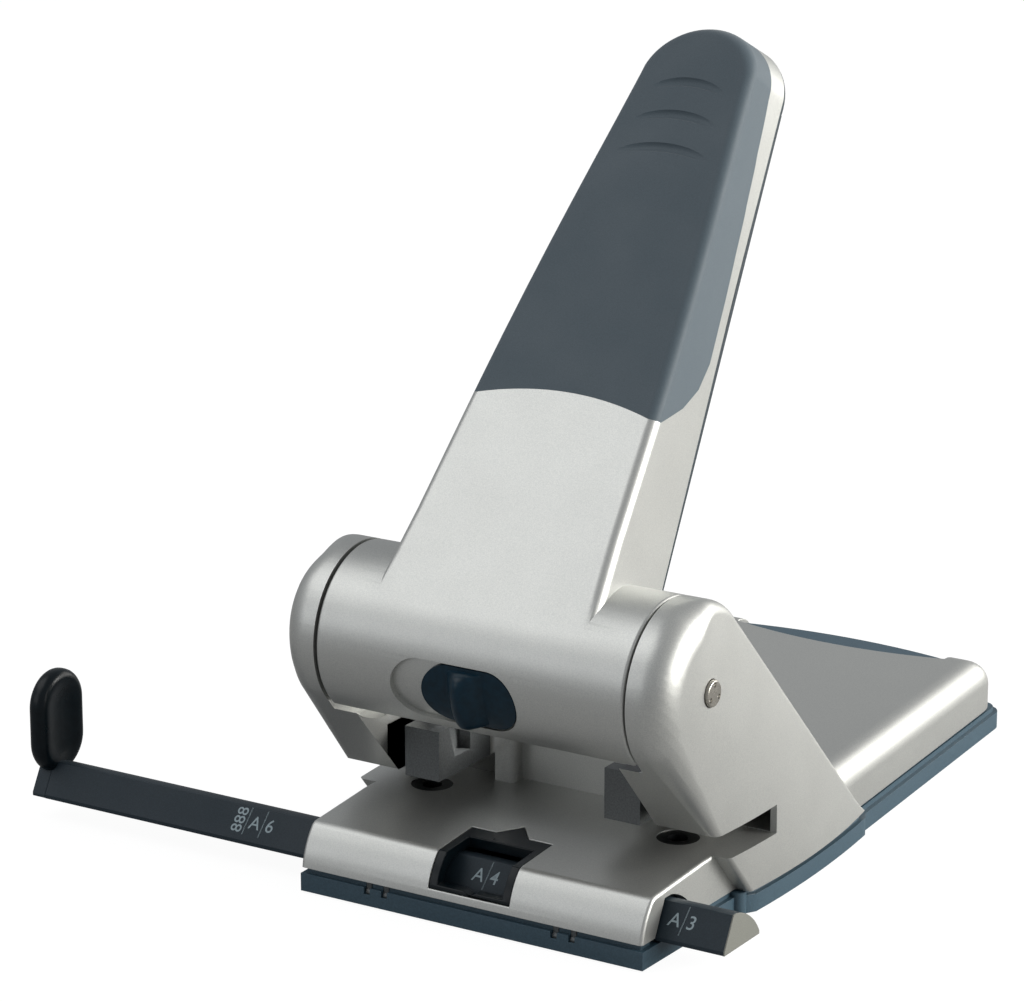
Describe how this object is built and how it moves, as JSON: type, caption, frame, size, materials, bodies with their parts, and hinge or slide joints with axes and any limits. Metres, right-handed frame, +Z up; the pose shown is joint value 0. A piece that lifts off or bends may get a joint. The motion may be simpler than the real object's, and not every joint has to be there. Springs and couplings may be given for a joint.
{
  "type": "two-hole lever punch",
  "caption": "Heavy-duty manual two-hole punch in silver lacquer with a long padded lever, a sliding paper guide rod and a drop-down chip tray.",
  "frame": {"origin": "on the desk, midway between the two punches", "axes": "+X along the line of the punches to the right, +Y from the throat's mouth towards the rear deck, +Z up"},
  "size_m": [0.2299, 0.2369, 0.228],
  "materials": {
    "silver": "silver lacquer",
    "steel": "turned and plated",
    "punch_steel": "hardened and ground",
    "spring_steel": "bright spring wire and strip",
    "bearing": "turned",
    "gloss_black": "polished",
    "black": "fine grain",
    "petrol": "polished",
    "pad": "soft touch",
    "navy": "satin",
    "rubber": "matt"
  },
  "bodies": {
    "base": {"base_casting": "silver", "rear_deck": "silver", "deck_screws": "steel", "window_bezel": "gloss_black", "rod_channel": "black", "rod_detent_spring": "spring_steel", "die_bush_left": "steel", "die_bush_right": "steel", "pivot_pin": "steel", "punch_spring_left": "spring_steel", "punch_spring_right": "spring_steel", "tray_hinge_pins": "steel"},
    "lever": {"lever_arm": "silver", "grip_pad": "pad", "lever_back_cover": "black", "lever_cover_screws": "steel", "pivot_sleeve": "bearing", "cam_left": "steel", "cam_right": "steel", "lock_detent_spring": "spring_steel"},
    "lock": {"lock_slider": "petrol", "lock_bolt": "steel"},
    "left_punch": {"punch_left": "punch_steel"},
    "right_punch": {"punch_right": "punch_steel"},
    "rod": {"guide_rod": "black", "rod_end_cap": "black", "stop_paddle": "gloss_black"},
    "tray": {"chip_tray": "navy", "rubber_strip": "rubber", "rubber_feet": "rubber"}
  },
  "joints": [
    {"name": "lever_pivot", "type": "hinge", "parent": "base", "child": "lever", "pos_m": [0, -0.0205, 0.0724], "axis": [-1, 0, 0], "range_deg": [0, 35], "stiffness_Nm_per_rad": 1.5, "springref_deg": -28.65},
    {"name": "left_punch_slide", "type": "slide", "parent": "base", "child": "left_punch", "axis": [0, 0, -1], "range_m": [0, 0.0126], "deforming": ["punch_spring_left"]},
    {"name": "right_punch_slide", "type": "slide", "parent": "base", "child": "right_punch", "axis": [0, 0, -1], "range_m": [0, 0.0126], "deforming": ["punch_spring_right"]},
    {"name": "guide_rod_slide", "type": "slide", "parent": "base", "child": "rod", "axis": [1, 0, 0], "range_m": [-0.0615, 0.08]},
    {"name": "lock_slide", "type": "slide", "parent": "lever", "child": "lock", "axis": [1, 0, 0], "range_m": [-0.009, 0]},
    {"name": "tray_hinge", "type": "hinge", "parent": "base", "child": "tray", "pos_m": [0, -0.0422, 0.0042], "axis": [-1, 0, 0], "range_deg": [0, 60]}
  ],
  "couplings": [
    {"joint": "left_punch_slide", "follows": "lever_pivot", "m_per_rad": 0.0205},
    {"joint": "right_punch_slide", "follows": "lever_pivot", "m_per_rad": 0.0205}
  ]
}
